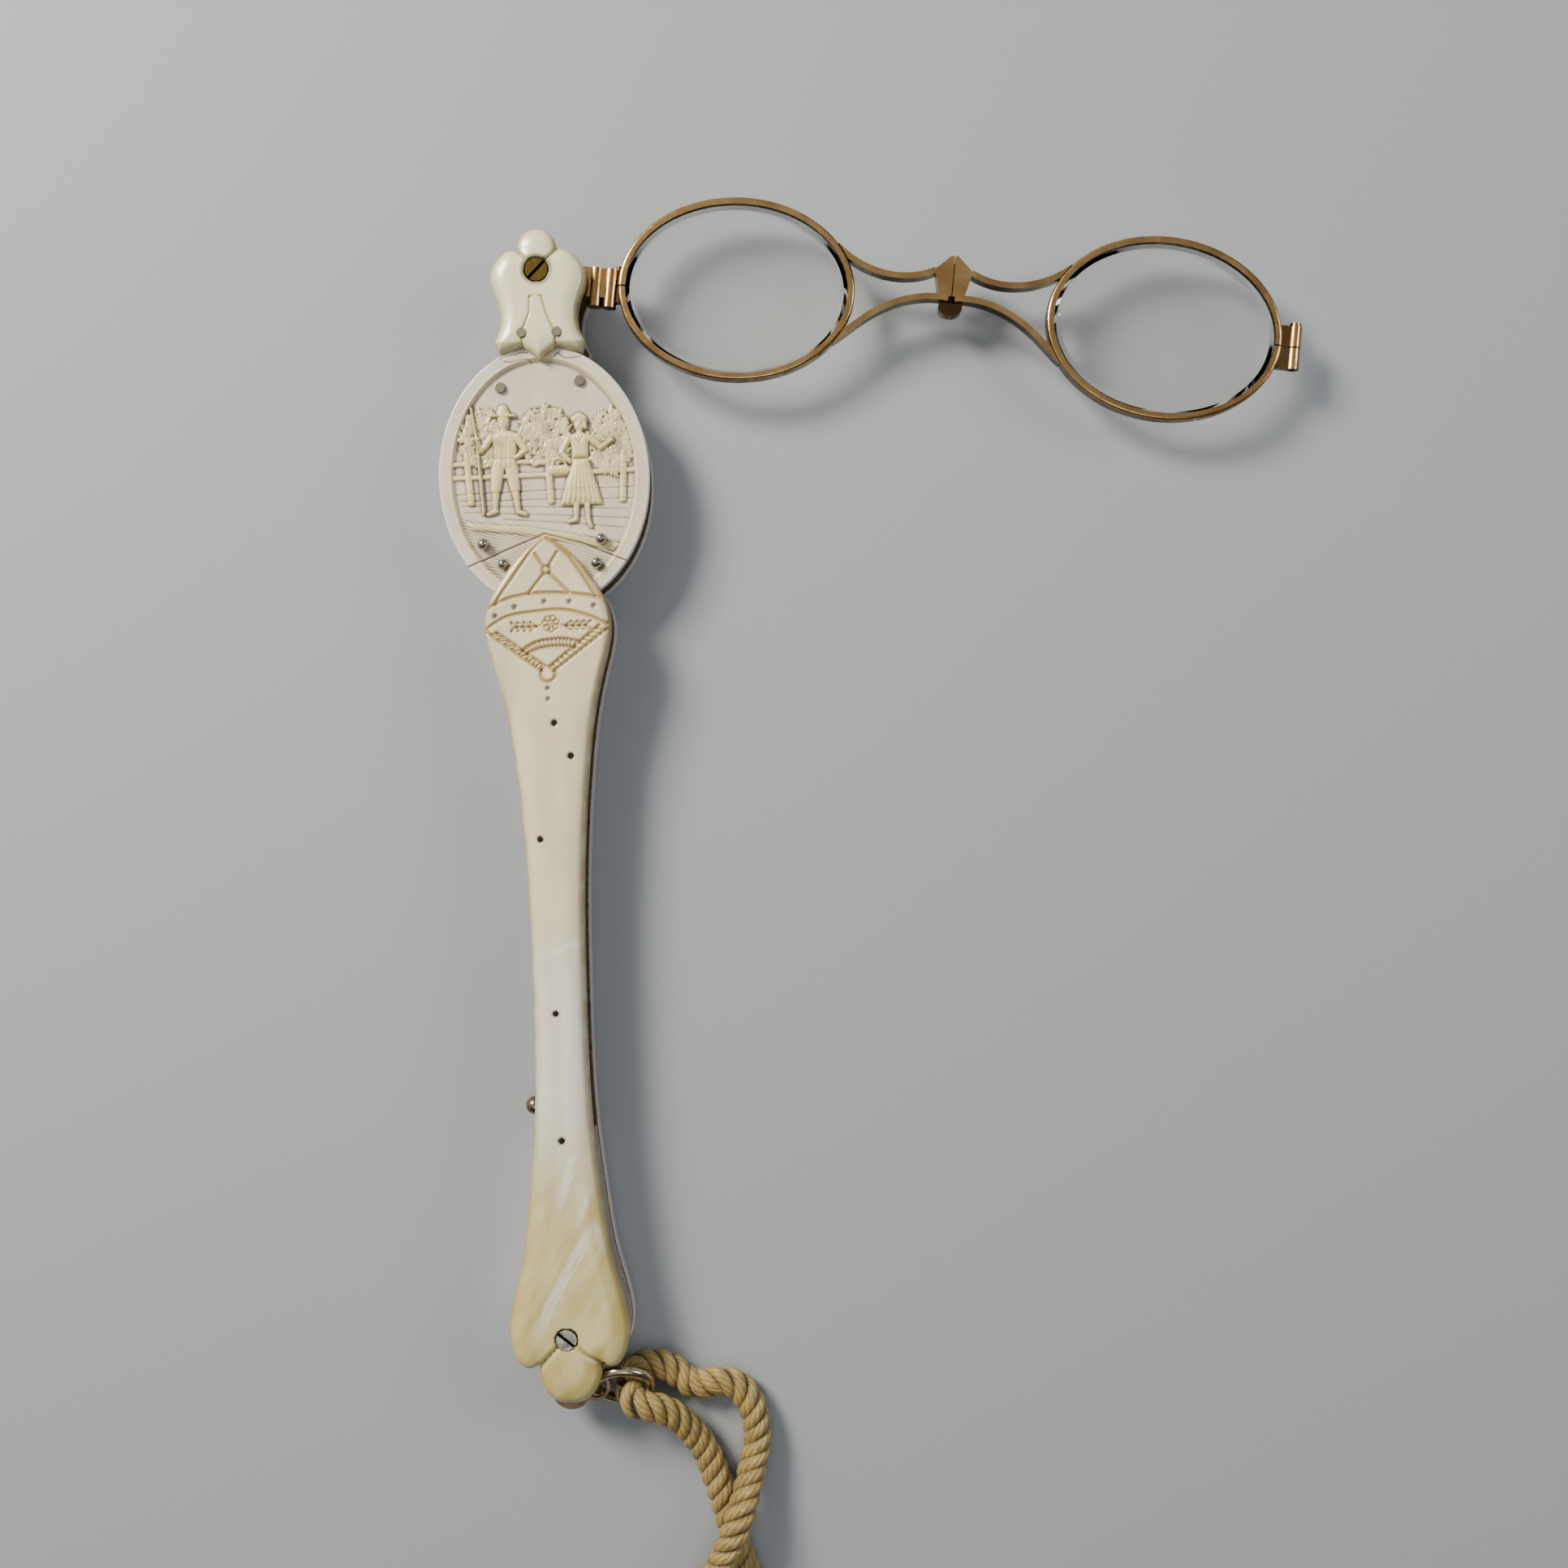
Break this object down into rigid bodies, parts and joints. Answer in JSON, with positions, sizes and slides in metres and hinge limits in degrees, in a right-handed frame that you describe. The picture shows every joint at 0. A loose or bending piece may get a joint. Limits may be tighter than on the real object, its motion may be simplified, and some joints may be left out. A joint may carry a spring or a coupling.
{
  "type": "lorgnette",
  "caption": "Folding lorgnette: a pearl-plated handle whose oval case takes two hinged oval lenses that swing in about a head screw; ring and cord at the tail.",
  "frame": {"origin": "middle of the oval case's back face, on the plane that the handle lies on", "axes": "+Y up the handle's line to the head, +X to the right seen from the front, +Z out of the front face"},
  "size_m": [0.1244, 0.315, 0.0108],
  "materials": {
    "pearl": "polished mother-of-pearl",
    "liner_brass": "dull sheet brass",
    "copper": "coppery worn gilt",
    "old_brass": "darkened brass",
    "steel": "bright steel, dulled",
    "rolled_gold": "rolled gold with brown patina",
    "lens_glass": "clear ground glass",
    "nickel_silver": "worn nickel silver",
    "cord_silk": "twisted satin cord"
  },
  "bodies": {
    "handle": {"front_head_plate": "pearl", "front_case_plate": "pearl", "front_case_wedges": "pearl", "front_handle_plate": "pearl", "back_head_plate": "pearl", "back_case_plate": "pearl", "back_handle_plate": "pearl", "front_liner": "liner_brass", "back_liner": "liner_brass", "case_spine": "liner_brass", "neck_spine": "liner_brass", "tail_block": "copper", "pivot_bush": "liner_brass", "spacing_collar": "liner_brass", "pivot_screw": "old_brass", "pivot_nut": "old_brass", "tail_screw": "steel", "tail_nut": "steel", "head_pins": "steel", "case_pins": "steel", "case_studs": "steel", "handle_pins": "steel", "back_pins": "steel", "return_spring": "steel", "rod_guides": "liner_brass"},
    "inner_eye": {"pivot_arm": "rolled_gold", "inner_rim": "rolled_gold", "inner_lens": "lens_glass", "inner_closing_screw": "rolled_gold", "inner_bridge": "rolled_gold", "bridge_pin": "rolled_gold", "bridge_spring": "steel"},
    "outer_eye": {"outer_rim": "rolled_gold", "outer_lens": "lens_glass", "outer_closing_screw": "rolled_gold", "outer_bridge": "rolled_gold"},
    "release": {"catch": "steel", "release_rod": "steel", "release_knob": "old_brass"},
    "ring": {"ring": "nickel_silver", "wrist_cord": "cord_silk"}
  },
  "joints": [
    {"name": "frame_swing", "type": "hinge", "parent": "handle", "child": "inner_eye", "pos_m": [0, 0.029, 0.006], "axis": [0, 0, 1], "range_deg": [-83, 7]},
    {"name": "bridge_fold", "type": "hinge", "parent": "inner_eye", "child": "outer_eye", "pos_m": [0.05862, 0.0218, 0.0048], "axis": [0.1219, 0.9925, 0], "range_deg": [0, 180], "stiffness_Nm_per_rad": 0.0015, "springref_deg": -171.89},
    {"name": "release_slide", "type": "slide", "parent": "handle", "child": "release", "axis": [0, -1, 0], "range_m": [0, 0.002], "stiffness_N_per_m": 150, "springref_m": -0.002, "deforming": ["return_spring"]},
    {"name": "ring_swivel", "type": "hinge", "parent": "handle", "child": "ring", "pos_m": [0.003, -0.131, 0.0048], "axis": [0, 0, 1], "range_deg": [-80, 0]}
  ]
}
